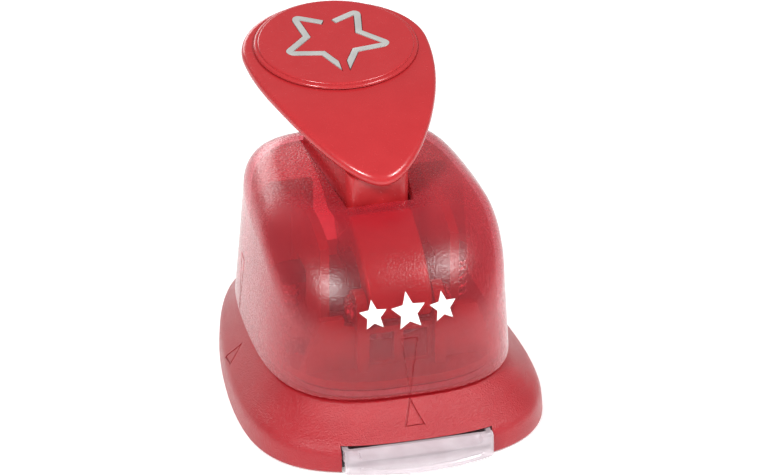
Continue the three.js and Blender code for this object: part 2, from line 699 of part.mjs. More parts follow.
function buildHead() {
  place('housing', makeHousing(), 'red_clear');
  place('inner_frame', makeInnerFrame(), 'red_frame');
  place('guide_plate', makeGuidePlate(), 'steel');
  placeEach('guide_screw', guideScrewSpots, makeScrew(3.4), 'steel', GUIDE.bottom + 0.05);
  placeEach('head_magnet', headMagnetSpots, makeDiscMagnet(GUIDE.top + GAP), 'steel');
  place('pivot_pin', crosswise(PIVOT.pin, PIVOT.y, PIVOT.z, 12.6), 'steel');
  place('pivot_clip_left', makePivotClip(), 'steel', -11.6);
  place('pivot_clip_right', makePivotClip(), 'steel', 11.6);
  place('return_spring_left', makeSpring(), 'steel', -SPRING.x);
  place('return_spring_right', makeSpring(), 'steel', SPRING.x);
}

function buildRam() {
  place('ram', makeRam(), 'black');
  place('star_punch', makePunch(), 'steel');
  placeEach('punch_screw', [[-4, 0], [4, 0]], makeScrew(5), 'steel', PUNCH.plateBottom + 0.05);
}

function buildLever() {
  place('lever', makeLever(), 'red_shell');
  place('pad_disc', makePadDisc(), 'red_shell');
  place('star_strip_left', makeStarStrip(-1), 'grey');
  place('star_strip_right', makeStarStrip(1), 'grey');
  place('press_roller', makeRoller(), 'steel');
  place('roller_pin', crosswise(0.9, ROLLER.y, ROLLER.z, 6.9, 12), 'steel');
}

buildBase();
buildHead();
buildRam();
buildLever();

export default craftPunch;
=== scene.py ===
"""Looks of the lever craft punch: fine shells, clear parts, fastenings, materials, light and camera.

Shapes are drawn in millimetres and turned into metres by settle(). -Y is the front, +Z is up.
"""
import math
from collections import namedtuple

import bmesh
import bpy
from mathutils import Matrix, Vector
from mathutils.bvhtree import BVHTree


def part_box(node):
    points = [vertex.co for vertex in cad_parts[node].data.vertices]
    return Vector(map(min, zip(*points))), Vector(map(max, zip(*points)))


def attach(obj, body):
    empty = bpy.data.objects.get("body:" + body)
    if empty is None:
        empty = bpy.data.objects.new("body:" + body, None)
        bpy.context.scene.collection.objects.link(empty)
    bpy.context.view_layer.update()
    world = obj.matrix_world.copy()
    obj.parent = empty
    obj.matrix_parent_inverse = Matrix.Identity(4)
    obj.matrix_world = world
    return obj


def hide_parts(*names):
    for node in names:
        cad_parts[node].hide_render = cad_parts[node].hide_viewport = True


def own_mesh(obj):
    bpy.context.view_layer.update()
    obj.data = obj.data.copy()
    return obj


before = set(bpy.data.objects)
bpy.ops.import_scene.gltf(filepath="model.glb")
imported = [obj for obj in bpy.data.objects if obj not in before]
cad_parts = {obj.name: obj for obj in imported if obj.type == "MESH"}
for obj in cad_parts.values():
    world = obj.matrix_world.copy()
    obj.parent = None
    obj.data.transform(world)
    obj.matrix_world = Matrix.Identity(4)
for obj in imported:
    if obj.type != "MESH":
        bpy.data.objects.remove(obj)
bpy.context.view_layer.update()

MM = 0.001
RING = 288              # points round the shells' outlines
SAMPLES = 1440          # points that an outline is resampled from


def span(node):
    """Lowest and highest corner of a CAD node, in millimetres."""
    low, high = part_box(node)
    return low / MM, high / MM


# ---------------------------------------------------------------- dimensions

Egg = namedtuple("Egg", "half_width front rear middle front_power rear_power taper")

base_low, base_high = span("base_shell")
head_low, head_high = span("housing")
disc_low, disc_high = span("pad_disc")
tray_low, tray_high = span("chip_tray")
mat_low, mat_high = span("base_mat")

SKIRT = Egg(base_high.x, -base_low.y, base_high.y, -11, 2.95, 4, 0.27)
DECK = Egg(29.2, 36.2, 36.2, -2, 3, 4.5, 0.1)
BODY = Egg(head_high.x, -head_low.y, head_high.y, -2, 3, 4.5, 0.1)
CROWN = Egg(18.8, 8.3, 27.5, 8, 2.6, 4, 0.1)

DECK_TOP = base_high.z
SKIRT_FOOT = base_low.z
SKIRT_WALL = 2.6
POCKET = {"half_x": 24.3, "half_y": 25.3, "corner": 5, "bottom": 8.6}
NOTCH = {"half_width": tray_high.x + 0.4, "top": tray_high.z + 0.3, "back": -36}
BOSS = {"radius": 3, "bottom": 2.9, "top": 11.5}
SHANK_HOLE = {"radius": 1.4, "top": 9}
MAT_INSET = 2.9

CROWN_RISE = 0.7
CROWN_EDGE = head_high.z - CROWN_RISE
SHELL_FOOT = head_low.z
SHELL_WALL = 2
DRAFT = 0.075
ROUNDING = {"side": 9, "front": 24, "rear": 7}
SLOT = {"front": -9.1, "rear": 27.2, "front_half": 8, "rear_half": 10.7, "corner": 1.2}

PAD_SLOPE = 0.105
PAD_LEVEL = 69.1
PAD_BEND = 16.5
PAD_DROOP = 0.00629
PAD = {"tip": -14, "nose": 9.5, "shoulder": 11, "half": 22.5, "centre": 33, "rear": 52.5}
PAD_SPINE = 27          # the pad's rings shrink towards this point on the middle line
PIVOT = Vector((0, -25, 33))
ROLLER = Vector((0, 0, 35.6))
NECK = {
    "front": -8.3, "front_half": 7.4, "rear": 26, "rear_half": 10.1, "corner": 2.8,
    "bottom": 42, "top": 66,
}
ARM = {"half": 7.7, "edge": 1, "top": 46, "back": -9.5}
PIVOT_HOLE = 2.2
PIN_HOLE = 1.2
ROLLER_SEAT = {"radius": 2.9, "half": 4.5}

STAR = {
    "tip": 11.4, "notch": 5.75, "stroke": 1.6, "front_gap": 1.0, "rear_gap": 1.8,
    "turn": -2.2, "centre": 33.8,
}


# ---------------------------------------------------------------- outlines

def spaced(points, count):
    """Points evenly round a closed outline, from its first point."""
    loop = points + points[:1]
    lengths = [0.0]
    for start, end in zip(loop, loop[1:]):
        lengths.append(lengths[-1] + (end - start).length)
    found = []
    leg = 0
    for i in range(count):
        goal = lengths[-1] * i / count
        while lengths[leg + 1] < goal:
            leg += 1
        share = (goal - lengths[leg]) / (lengths[leg + 1] - lengths[leg])
        found.append(loop[leg].lerp(loop[leg + 1], share))
    return found


def egg(spec, inset=0.0):
    """A superellipse in front of its middle line, another behind it that narrows to the rear."""
    points = []
    for i in range(SAMPLES):
        angle = 2 * math.pi * i / SAMPLES - math.pi / 2
        across = math.cos(angle)
        along = math.sin(angle)
        power = spec.front_power if along < 0 else spec.rear_power
        reach = spec.front + spec.middle if along < 0 else spec.rear - spec.middle
        share = abs(along) ** (2 / power)
        narrowing = 1 if along < 0 else 1 - spec.taper * share ** 1.5
        width = (spec.half_width - inset) * narrowing * abs(across) ** (2 / power)
        depth = (reach - inset) * share
        points.append(Vector((math.copysign(width, across), spec.middle + math.copysign(depth, along))))
    return spaced(points, RING)


def lifted(points, z):
    return [Vector((p.x, p.y, z)) for p in points]


def between(start, end, share):
    return [a.lerp(b, share) for a, b in zip(start, end)]


def softened(points, passes):
    """The outline with its corners rounded off."""
    for _ in range(passes):
        middles = [(points[i - 1] + points[(i + 1) % len(points)]) / 2 for i in range(len(points))]
        points = [point.lerp(middle, 0.5) for point, middle in zip(points, middles)]
    return points


def inset_by(points, distance, longest_step=0.15):
    """The outline moved inwards by short steps, and spaced evenly after each: a tight nose never folds."""
    steps = math.ceil(abs(distance) / longest_step)
    for _ in range(steps):
        moved = []
        for i, point in enumerate(points):
            along = (points[(i + 1) % len(points)] - points[i - 1]).normalized()
            moved.append(point + Vector((-along.y, along.x)) * distance / steps)
        points = spaced(moved, len(moved))
    return points


def through(rows, steps):
    """Rows on a smooth curve through the given rows."""
    knots = [Vector(row) for row in rows]
    knots = [knots[0] * 2 - knots[1], *knots, knots[-1] * 2 - knots[-2]]
    fine = []
    for before, start, end, after in zip(knots, knots[1:], knots[2:], knots[3:]):
        slope = (end - before) / 2
        next_slope = (after - start) / 2
        for step in range(steps):
            t = step / steps
            fine.append(
                start * (2 * t**3 - 3 * t**2 + 1) + slope * (t**3 - 2 * t**2 + t)
                + end * (3 * t**2 - 2 * t**3) + next_slope * (t**3 - t**2)
            )
    return fine + [knots[-2]]


def bend(start, control, end, steps=10):
    """Points of a quadratic curve after its start."""
    start, control, end = Vector(start), Vector(control), Vector(end)
    shares = [step / steps for step in range(1, steps + 1)]
    return [start.lerp(control, t).lerp(control.lerp(end, t), t) for t in shares]


def arc(centre, radius, start, end, steps=16):
    """Points round a centre from one angle to another, in half turns."""
    angles = [math.pi * (start + (end - start) * step / steps) for step in range(steps + 1)]
    return [Vector((centre[0] + radius * math.cos(a), centre[1] + radius * math.sin(a))) for a in angles]


def rounded_box(half_x, half_y, radius, steps=8):
    x, y = half_x - radius, half_y - radius
    corners = [((x, y), 0), ((-x, y), 0.5), ((-x, -y), 1), ((x, -y), 1.5)]
    return [p for centre, turn in corners for p in arc(centre, radius, turn, turn + 0.5, steps)]


def smoothstep(value, low, high):
    share = min(max((value - low) / (high - low), 0), 1)
    return share * share * (3 - 2 * share)


# ---------------------------------------------------------------- meshes

def mesh_object(name, vertices, faces):
    mesh = bpy.data.meshes.new(name)
    mesh.from_pydata([tuple(v) for v in vertices], [], faces)
    shape = bmesh.new()
    shape.from_mesh(mesh)
    bmesh.ops.remove_doubles(shape, verts=shape.verts, dist=1e-5)
    bmesh.ops.recalc_face_normals(shape, faces=shape.faces)
    if shape.calc_volume(signed=True) < 0:
        bmesh.ops.reverse_faces(shape, faces=shape.faces)
    shape.to_mesh(mesh)
    shape.free()
    piece = bpy.data.objects.new(name, mesh)
    bpy.context.scene.collection.objects.link(piece)
    return piece


def loft(name, rings):
    """A closed skin through rings of equal length, with a flat face over each end."""
    count = len(rings[0])
    vertices = [point for ring in rings for point in ring]
    faces = []
    for row in range(0, len(vertices) - count, count):
        for i in range(count):
            j = (i + 1) % count
            faces.append((row + i, row + j, row + count + j, row + count + i))
    faces.append(tuple(reversed(range(count))))
    faces.append(tuple(range(len(vertices) - count, len(vertices))))
    return mesh_object(name, vertices, faces)


def prism(name, outline, bottom, top):
    return loft(name, [lifted(outline, bottom), lifted(outline, top)])


def crosswise(outline, x):
    """An outline drawn in (y, z), placed at x."""
    return [Vector((x, p.x, p.y)) for p in outline]


def block(name, low, high):
    (left, front, bottom), (right, rear, top) = low, high
    outline = [Vector(corner) for corner in ((left, front), (right, front), (right, rear), (left, rear))]
    return prism(name, outline, bottom, top)


def revolve(name, profile, count=48):
    """A turned piece about the Z axis. The profile is (radius, z) rows from one end to the other."""
    last = 2 * (1 - 1 / count)
    return loft(name, [lifted(arc((0, 0), radius, 0, last, count - 1), z) for radius, z in profile])


def bar(name, radius, start, end, count=48):
    """A round bar between two points."""
    start, end = Vector(start), Vector(end)
    piece = revolve(name, [(radius, 0), (radius, (end - start).length)], count)
    turn = (end - start).to_track_quat("Z", "Y").to_matrix().to_4x4()
    piece.data.transform(Matrix.Translation(start) @ turn)
    return piece


def tube(name, path, radius, sides=12):
    """Round wire along a path, with closed ends."""
    rings = []
    for i, point in enumerate(path):
        along = (path[min(i + 1, len(path) - 1)] - path[max(i - 1, 0)]).normalized()
        across = along.cross(Vector((0, 0, 1))).normalized()
        over = across.cross(along)
        angles = [2 * math.pi * side / sides for side in range(sides)]
        rings.append([point + (across * math.cos(a) + over * math.sin(a)) * radius for a in angles])
    return loft(name, rings)


def round_edges(piece, width, segments, angle):
    """Rounds a piece's edges that are sharper than angle, in degrees."""
    rounding = piece.modifiers.new("rounding", "BEVEL")
    rounding.width = width
    rounding.segments = segments
    rounding.limit_method = "ANGLE"
    rounding.angle_limit = math.radians(angle)


def bake(piece):
    """Makes a piece's modifiers part of its mesh."""
    evaluated = piece.evaluated_get(bpy.context.evaluated_depsgraph_get())
    mesh = bpy.data.meshes.new_from_object(evaluated)
    mesh.name = piece.name
    piece.modifiers.clear()
    piece.data = mesh


def combine(piece, operation, *tools):
    for tool in tools:
        modifier = piece.modifiers.new("combine", "BOOLEAN")
        modifier.operation = operation
        modifier.solver = "EXACT"
        modifier.object = tool
        bake(piece)
        bpy.data.objects.remove(tool)
    return piece


def cut(piece, *tools):
    return combine(piece, "DIFFERENCE", *tools)


def add(piece, *tools):
    return combine(piece, "UNION", *tools)


def keep_inside(piece, *tools):
    return combine(piece, "INTERSECT", *tools)


def surface(piece):
    mesh = piece.data
    return BVHTree.FromPolygons([v.co for v in mesh.vertices], [p.vertices[:] for p in mesh.polygons])


def groove(piece, tree, start, end, aim, width, depth, proud=0.4, steps=14):
    """Cuts a shallow channel where a straight route, seen along aim, lies on the piece."""
    aim = Vector(aim)
    rings = []
    for step in range(steps + 1):
        place, normal, _, _ = tree.ray_cast(start.lerp(end, step / steps) - aim * 100, aim)
        side = normal.cross(end - start).normalized() * width / 2
        rings.append([
            place + side * 1.3 + normal * proud,
            place - side * 1.3 + normal * proud,
            place - side * 0.6 - normal * depth,
            place + side * 0.6 - normal * depth,
        ])
    cut(piece, loft("groove", rings))


def engrave(piece, tree, corners, aim, width=0.5, depth=0.35):
    """Cuts the closed outline of a mark into the piece."""
    corners = [Vector(corner) for corner in corners]
    for start, end in zip(corners, corners[1:] + corners[:1]):
        along = (end - start).normalized() * width / 2
        groove(piece, tree, start - along, end + along, aim, width, depth)


def settle(piece, body, slot, material, *nodes, sharp=32):
    """Turns a finished shape into metres, shades it, gives it its body and finish, and hides the CAD nodes
    that it stands in for.
    """
    mesh = piece.data
    mesh.transform(Matrix.Scale(MM, 4))
    mesh.materials.clear()
    mesh.materials.append(material)
    mesh.polygons.foreach_set("use_smooth", [True] * len(mesh.polygons))
    mesh.polygons.foreach_set("material_index", [0] * len(mesh.polygons))
    mesh.set_sharp_from_angle(angle=math.radians(sharp))
    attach(piece, body)
    if nodes:
        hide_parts(*nodes)
    return piece


# ---------------------------------------------------------------- materials

def shader(name, **sockets):
    """A material with one Principled shader, whose sockets are set by name."""
    material = bpy.data.materials.new(name)
    material.use_nodes = True
    principled = material.node_tree.nodes["Principled BSDF"]
    for socket, value in sockets.items():
        principled.inputs[socket.replace("_", " ")].default_value = value
    return material, material.node_tree, principled


def noise(tree, size, detail=2.0, stretch=(1, 1, 1)):
    """Noise whose features are about size metres, fixed to the object."""
    place = tree.nodes.new("ShaderNodeTexCoord")
    scaling = tree.nodes.new("ShaderNodeMapping")
    scaling.inputs["Scale"].default_value = [s / size for s in stretch]
    texture = tree.nodes.new("ShaderNodeTexNoise")
    texture.inputs["Scale"].default_value = 1
    texture.inputs["Detail"].default_value = detail
    tree.links.new(place.outputs["Object"], scaling.inputs["Vector"])
    tree.links.new(scaling.outputs["Vector"], texture.inputs["Vector"])
    return texture.outputs["Fac"]


def spread(tree, value, low, high):
    """A noise value stretched over the range from low to high."""
    node = tree.nodes.new("ShaderNodeMapRange")
    node.inputs["From Min"].default_value = 0.3
    node.inputs["From Max"].default_value = 0.7
    node.inputs["To Min"].default_value = low
    node.inputs["To Max"].default_value = high
    tree.links.new(value, node.inputs["Value"])
    return node.outputs["Result"]


def shades(tree, value, dark, light):
    """A colour that goes from dark to light with a noise value."""
    node = tree.nodes.new("ShaderNodeValToRGB")
    node.color_ramp.elements[0].position = 0.35
    node.color_ramp.elements[0].color = (*dark, 1)
    node.color_ramp.elements[1].position = 0.65
    node.color_ramp.elements[1].color = (*light, 1)
    tree.links.new(value, node.inputs["Fac"])
    return node.outputs["Color"]


def bump(tree, height, depth, *shaders):
    """Relief of the given depth, in metres, on one or more shaders."""
    node = tree.nodes.new("ShaderNodeBump")
    node.inputs["Distance"].default_value = depth
    tree.links.new(height, node.inputs["Height"])
    for target in shaders:
        tree.links.new(node.outputs["Normal"], target.inputs["Normal"])


def moulded(name, dark, light, roughness, grain, depth, **sockets):
    """Moulded plastic: faint mottling, uneven gloss and a fine surface grain."""
    material, tree, principled = shader(name, **sockets)
    tree.links.new(shades(tree, noise(tree, 0.006), dark, light), principled.inputs["Base Color"])
    gloss = spread(tree, noise(tree, 0.0012), roughness - 0.05, roughness + 0.05)
    tree.links.new(gloss, principled.inputs["Roughness"])
    bump(tree, noise(tree, grain, 3.0), depth, principled)
    return material


def metal(name, colour, roughness, grain, depth, stretch=(1, 1, 1)):
    """Bare metal, with a lay as fine as the grain."""
    material, tree, principled = shader(name, Metallic=1.0)
    dark = tuple(0.82 * c for c in colour)
    tree.links.new(shades(tree, noise(tree, 0.004), dark, colour), principled.inputs["Base Color"])
    lay = noise(tree, grain, 2.0, stretch)
    tree.links.new(spread(tree, lay, roughness - 0.08, roughness + 0.1), principled.inputs["Roughness"])
    bump(tree, lay, depth, principled)
    return material


def mixed(tree, share, first, second):
    """The first shader, with a share of the second over it."""
    node = tree.nodes.new("ShaderNodeMixShader")
    tree.links.new(share, node.inputs["Fac"])
    tree.links.new(first, node.inputs[1])
    tree.links.new(second, node.inputs[2])
    return node.outputs["Shader"]


def glancing_share(tree, face_on, edge_on):
    """How much of the light the plastic's body stops: little face on, and most at a glancing angle."""
    glance = tree.nodes.new("ShaderNodeLayerWeight")
    glance.inputs["Blend"].default_value = 0.35
    cover = tree.nodes.new("ShaderNodeMapRange")
    cover.inputs["To Min"].default_value = face_on
    cover.inputs["To Max"].default_value = edge_on
    tree.links.new(glance.outputs["Facing"], cover.inputs["Value"])
    return cover.outputs["Result"]


def gloss_share(tree):
    """How much light the polished surface reflects. It is none where the surface is met from within."""
    fresnel = tree.nodes.new("ShaderNodeFresnel")
    fresnel.inputs["IOR"].default_value = 1.5
    side = tree.nodes.new("ShaderNodeNewGeometry")
    outside = tree.nodes.new("ShaderNodeMath")
    outside.operation = "SUBTRACT"
    outside.use_clamp = True
    tree.links.new(fresnel.outputs["Fac"], outside.inputs[0])
    tree.links.new(side.outputs["Backfacing"], outside.inputs[1])
    return outside.outputs["Value"]


def see_through(name, tint, dark, light, face_on, edge_on, roughness, grain, depth):
    """Tinted see-through plastic: light passes the tint, is scattered by the body, or is reflected."""
    material, tree, body = shader(name, Roughness=0.55, IOR=1.55, Sheen_Weight=0.1, Sheen_Roughness=0.35)
    tree.links.new(shades(tree, noise(tree, 0.008), dark, light), body.inputs["Base Color"])
    skin = tree.nodes.new("ShaderNodeBsdfGlossy")
    gloss = spread(tree, noise(tree, 0.0009), roughness - 0.04, roughness + 0.06)
    tree.links.new(gloss, skin.inputs["Roughness"])
    bump(tree, noise(tree, grain, 3.0), depth, body, skin)
    passing = tree.nodes.new("ShaderNodeBsdfTransparent")
    passing.inputs["Color"].default_value = (*tint, 1)
    cover = glancing_share(tree, face_on, edge_on)
    inside = mixed(tree, cover, passing.outputs["BSDF"], body.outputs["BSDF"])
    whole = mixed(tree, gloss_share(tree), inside, skin.outputs["BSDF"])
    tree.links.new(whole, tree.nodes["Material Output"].inputs["Surface"])
    return material


RED_BASE = moulded(
    "red_base_plastic", (0.325, 0.007, 0.014), (0.345, 0.009, 0.016),
    roughness=0.36, grain=0.00038, depth=0.0002, Sheen_Weight=0.08, Sheen_Roughness=0.4,
)
RED_LEVER = moulded(
    "red_lever_plastic", (0.405, 0.020, 0.024), (0.42, 0.022, 0.026),
    roughness=0.23, grain=0.0003, depth=0.00001,
)
# The frame's red is darker than the lever's red: painted shade for the inside of the housing.
RED_FRAME_PAINTED_SHADE = moulded(
    "red_frame_plastic_painted_shade", (0.30, 0.006, 0.014), (0.35, 0.008, 0.018),
    roughness=0.32, grain=0.0004, depth=0.00001,
)
RED_CLEAR = see_through(
    "red_clear_plastic", (0.95, 0.43, 0.48), (0.48, 0.02, 0.04), (0.54, 0.03, 0.05),
    face_on=0.12, edge_on=0.85, roughness=0.25, grain=0.0005, depth=0.00009,
)
DARK = moulded(
    "dark_plastic", (0.018, 0.018, 0.020), (0.030, 0.030, 0.032),
    roughness=0.45, grain=0.0004, depth=0.00003,
)
RUBBER = moulded(
    "mat_rubber", (0.030, 0.030, 0.031), (0.050, 0.050, 0.051),
    roughness=0.80, grain=0.0006, depth=0.0002,
)
GREY = moulded(
    "grey_plastic", (0.35, 0.35, 0.34), (0.41, 0.41, 0.395),
    roughness=0.42, grain=0.0003, depth=0.00001,
)
CLEAR = moulded(
    "clear_plastic", (0.64, 0.54, 0.58), (0.74, 0.65, 0.69),
    roughness=0.13, grain=0.0015, depth=0.00001, Alpha=0.45, IOR=1.5,
)
PRINT = moulded(
    "white_print", (0.86, 0.86, 0.86), (0.95, 0.95, 0.95),
    roughness=0.50, grain=0.0004, depth=0.00001,
)
GROUND_STEEL = metal(
    "ground_steel", (0.66, 0.67, 0.69), roughness=0.34, grain=0.0002, depth=0.000006, stretch=(1, 0.04, 1),
)
BRIGHT_STEEL = metal("bright_steel", (0.76, 0.77, 0.79), roughness=0.22, grain=0.0005, depth=0.000004)
NICKEL = metal("magnet_nickel", (0.70, 0.68, 0.64), roughness=0.20, grain=0.001, depth=0.000003)


# ---------------------------------------------------------------- base

SKIRT_FLANK = [         # share of the way from the skirt's outline to the deck's, height
    (0.03, SKIRT_FOOT), (0.005, 0.8), (0.02, 3), (0.06, 5.2), (0.17, 6.7), (0.4, 8.4),
    (0.66, 10.4), (0.87, 12.3), (0.97, 13.2), (1.01, DECK_TOP),
]
SKIRT_INSIDE = [(0.95, 10.9), (0.72, 9), (0.33, 6.2), (0.05, 4.2), (0, 2.9), (0, SKIRT_FOOT)]
COVER_SCREWS = [(-26, -20), (26, -20), (-20, 29.5), (20, 29.5)]
FRONT_MARK = [(-2.25, -41.4, 0), (2.25, -41.4, 0), (0, -36.5, 0)]
FLANK_MARK = [(34.2, 0.2, 0), (34.2, 4.8, 0), (31, 2.5, 0)]


def skirt_rings(rows, inset):
    low, high = egg(SKIRT, inset), egg(DECK, inset)
    return [lifted(between(low, high, share), z) for share, z in rows]


def make_base_shell():
    rings = skirt_rings(through(SKIRT_INSIDE, 3), SKIRT_WALL) + skirt_rings(through(SKIRT_FLANK, 5), 0)
    shell = loft("base_shell_fine", rings)
    pocket = rounded_box(POCKET["half_x"], POCKET["half_y"], POCKET["corner"])
    cut(shell, prism("pocket", pocket, POCKET["bottom"], DECK_TOP + 5))
    notch_x = NOTCH["half_width"]
    cut(shell, block("notch", (-notch_x, -60, -1), (notch_x, NOTCH["back"], NOTCH["top"])))
    for x, y in COVER_SCREWS:
        add(shell, bar("boss", BOSS["radius"], (x, y, BOSS["bottom"]), (x, y, BOSS["top"]), 32))
        cut(shell, bar("hole", SHANK_HOLE["radius"], (x, y, 0), (x, y, SHANK_HOLE["top"]), 24))
    tree = surface(shell)
    down = (0, 0, -1)
    engrave(shell, tree, FRONT_MARK, down)
    for side in (-1, 1):
        engrave(shell, tree, [(side * x, y, z) for x, y, z in FLANK_MARK], down)
    return settle(shell, "base", "red_plastic", RED_BASE, "base_shell")


def make_mat():
    outline = egg(SKIRT, MAT_INSET)
    low, high = mat_low.z, mat_high.z
    rows = [(0.5, low), (0.1, low + 0.15), (0, high - 0.15), (0.2, high)]
    mat = loft("base_mat_fine", [lifted(inset_by(outline, inset), z) for inset, z in rows])
    return settle(mat, "base", "mat_rubber", RUBBER, "base_mat")


# ---------------------------------------------------------------- chip tray

LIP = {"back": -45, "corner": -46.3, "block": 14.4}     # block: half-width between the lip's plain ends
LIP_PROFILE = [         # set back from the front, height above the lip's foot
    (0.5, 0), (0.1, 0.3), (0, 0.9), (0, 1.3), (0.3, 1.55), (0.35, 2), (0, 2.25), (0, 4.1),
    (0.15, 4.5), (0.55, 4.75), (1.3, 4.9), (2, 5.2),
]
BLOCK_PROFILE = [
    (0.5, 0), (0.1, 0.3), (0, 0.9), (0, 1.3), (0, 1.55), (0, 2), (0, 2.25), (0, 4.1),
    (0.1, 5), (0.4, 5.5), (1, 5.65), (2, 5.7),
]
TRAY_WALL = [           # inset, height, from the tray's foot over its rim to its floor
    (0.5, 2.8), (0, 3.3), (0, tray_high.z - 0.2), (0.2, tray_high.z), (1.2, tray_high.z),
    (1.4, tray_high.z - 0.2), (1.4, 4.9), (1.7, 4.3), (2.4, 4),
]


def make_tray_lip(steps=120):
    """The curved lip across the front, moulded as a grip between two plain blocks."""
    half, foot, tip = tray_high.x, tray_low.z, tray_low.y
    rings = []
    for step in range(steps + 1):
        x = half * (2 * step / steps - 1)
        front = tip + (LIP["corner"] - tip) * (x / half) ** 2
        share = smoothstep(abs(x), LIP["block"], LIP["block"] + 0.5)
        end_round = 0.5 * smoothstep(abs(x), half - 0.6, half)
        profile = [Vector(a).lerp(Vector(b), share) for a, b in zip(LIP_PROFILE, BLOCK_PROFILE)]
        face = [Vector((x, front + back + end_round, foot + rise)) for back, rise in profile]
        rings.append(face + [Vector((x, LIP["back"], tray_high.z)), Vector((x, LIP["back"], foot))])
    return loft("chip_tray_fine", rings)


def make_tray():
    front, rear = LIP["back"] - 0.2, tray_high.y
    half_x, half_y, middle = tray_high.x, (rear - front) / 2, Vector((0, (front + rear) / 2))
    rings = []
    for inset, z in TRAY_WALL:
        corner = max(1.2 - inset * 0.4, 0.5)
        plan = rounded_box(half_x - inset, half_y - inset, corner)
        rings.append(lifted([p + middle for p in plan], z))
    tray = add(make_tray_lip(), loft("tray_box", rings))
    return settle(tray, "tray", "clear_plastic", CLEAR, "chip_tray", sharp=28)


# ---------------------------------------------------------------- housing

FOOT_EDGE = {"inset": 0.3, "rise": 0.35}
SLOT_CUT = [            # margin round the slot, height: a rounded edge at the crown
    (0, 38), (0, CROWN_EDGE - 0.4), (0.15, CROWN_EDGE), (0.6, CROWN_EDGE + 0.5), (1.2, CROWN_EDGE + 2),
]
HEAD_MARK = {"half": 1.95, "high": 29.2, "low": 14.9, "side_y": 11.4}


def dome_rings(inset, bottom, wall_rows=10, shoulder_rows=26):
    """Upright wall, then a shoulder that is deep at the front and tight at the sides and rear."""
    low, crown = egg(BODY, inset), egg(CROWN)
    edge = CROWN_EDGE - inset
    depths, wall_top = [], []
    for place, goal in zip(low, crown):
        forward = smoothstep(-place.y, 5, BODY.front - inset)
        backward = smoothstep(place.y, 10, BODY.rear - inset)
        radius = ROUNDING["side"] + (ROUNDING["front"] - ROUNDING["side"]) * forward
        depth = radius + (ROUNDING["rear"] - radius) * backward - inset
        lean = DRAFT * (edge - depth - SHELL_FOOT)
        depths.append(depth)
        wall_top.append(place.lerp(goal, lean / (goal - place).length))
    rings = []
    for row in range(wall_rows):
        share = row / wall_rows
        rings.append([
            Vector((*a.lerp(b, share), bottom + (edge - depth - bottom) * share))
            for a, b, depth in zip(low, wall_top, depths)
        ])
    for row in range(shoulder_rows + 1):
        angle = math.pi / 2 * row / shoulder_rows
        rings.append([
            Vector((*goal.lerp(place, math.cos(angle)), edge - depth * (1 - math.sin(angle))))
            for place, goal, depth in zip(wall_top, crown, depths)
        ])
    centre = Vector((0, CROWN.middle))
    for share in (0.9, 0.75, 0.55, 0.35, 0.15, 0.04):
        height = edge + CROWN_RISE * (1 - share * share)
        rings.append(lifted([centre.lerp(p, share) for p in crown], height))
    return rings


def slot_outline(margin=0.0):
    """Plan of the lever's slot: square in front, wider and with round corners at the rear."""
    front, rear = SLOT["front"] - margin, SLOT["rear"] + margin
    front_half, rear_half, corner = SLOT["front_half"] + margin, SLOT["rear_half"] + margin, SLOT["corner"]
    points = [Vector((front_half, front)), Vector((rear_half, rear - corner))]
    points += bend((rear_half, rear - corner), (rear_half, rear), (rear_half - corner, rear))
    points.append(Vector((corner - rear_half, rear)))
    points += bend((corner - rear_half, rear), (-rear_half, rear), (-rear_half, rear - corner))
    return points + [Vector((-front_half, front))]


def make_housing():
    wall_foot = SHELL_FOOT + FOOT_EDGE["rise"]
    inside = list(reversed(dome_rings(SHELL_WALL, wall_foot)))
    foot = [lifted(egg(BODY, SHELL_WALL - FOOT_EDGE["inset"]), SHELL_FOOT)]
    foot.append(lifted(egg(BODY, FOOT_EDGE["inset"]), SHELL_FOOT))
    shell = loft("housing_fine", inside + foot + dome_rings(0, wall_foot))
    cut(shell, loft("slot", [lifted(slot_outline(margin), z) for margin, z in SLOT_CUT]))
    tree = surface(shell)
    half, high, low, side_y = HEAD_MARK["half"], HEAD_MARK["high"], HEAD_MARK["low"], HEAD_MARK["side_y"]
    engrave(shell, tree, [(-half, 0, high), (half, 0, high), (0, 0, low)], (0, 1, 0))
    for side in (-1, 1):
        mark = [(0, side_y - half, high), (0, side_y + half, high), (0, side_y, low)]
        engrave(shell, tree, mark, (-side, 0, 0))
    make_print(tree)
    return settle(shell, "head", "red_clear_plastic", RED_CLEAR, "housing")


PRINT_MIDDLE = Vector((0.4, 0, 35.2))
PRINT_TURN = math.radians(3)
PRINT_STARS = [(-8.4, 3.4), (0, 4.3), (8.4, 3.4)]       # shift along the row, radius of the tips
INK = [                 # share of the star's size, height over the housing: back, edge, face
    (0.03, 0.02), (0.35, 0.02), (0.7, 0.02), (1, 0.02), (0.99, 0.09), (0.7, 0.1), (0.35, 0.1), (0.03, 0.1),
]


def small_star(size):
    """A solid five-pointed star's outline, with two more points along each edge."""
    corners = []
    for i in range(10):
        radius = size * (1 if i % 2 == 0 else 0.48)
        angle = math.pi / 2 + PRINT_TURN + i * math.pi / 5
        corners.append(Vector((radius * math.cos(angle), radius * math.sin(angle))))
    sides = zip(corners, corners[1:] + corners[:1])
    return [a.lerp(b, share) for a, b in sides for share in (0, 1 / 3, 2 / 3)]


def make_print(tree):
    """A row of three small white stars, thin ink on the housing's front."""
    for number, (shift, size) in enumerate(PRINT_STARS, start=1):
        rings = []
        for share, proud in INK:
            ring = []
            for p in small_star(size):
                aim = Vector((PRINT_MIDDLE.x + shift + p.x * share, -80, PRINT_MIDDLE.z + p.y * share))
                place, normal, _, _ = tree.ray_cast(aim, Vector((0, 1, 0)))
                ring.append(place + normal * proud)
            rings.append(ring)
        settle(loft(f"print_star_{number}", rings), "head", None, PRINT)


# ---------------------------------------------------------------- lever

